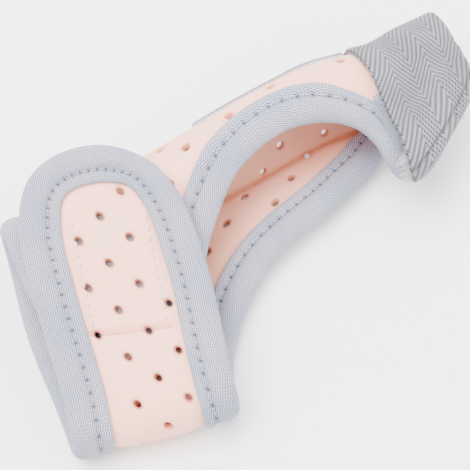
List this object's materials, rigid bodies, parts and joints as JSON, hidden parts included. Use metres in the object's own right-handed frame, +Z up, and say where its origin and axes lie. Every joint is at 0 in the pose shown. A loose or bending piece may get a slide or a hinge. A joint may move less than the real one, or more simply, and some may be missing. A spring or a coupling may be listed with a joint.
{
  "type": "thumb splint",
  "caption": "Small foam thumb splint: a wrist wrap with a fold-over strap, a thumb sleeve and an elastic strap that closes it round the thumb.",
  "frame": {"origin": "on the table, under the centre of the part's box", "axes": "+X along the fold line from the wrist edge to the thumb tip, +Y towards the folded edge, +Z up from the table"},
  "size_m": [0.14, 0.0736, 0.0415],
  "materials": {
    "peach_foam": "matt brushed foam laminate, perforated",
    "knit_tape": "matt zigzag knit",
    "woven_elastic": "matt herringbone weave",
    "hook_and_pile": "fuzzy nylon"
  },
  "bodies": {
    "root": {"foam_panel": "peach_foam", "edge_binding": "knit_tape", "hook_patch": "hook_and_pile", "loop_patch": "hook_and_pile", "strap_hook": "hook_and_pile", "thumb_strap": "woven_elastic", "back_strip": "knit_tape"}
  },
  "joints": []
}
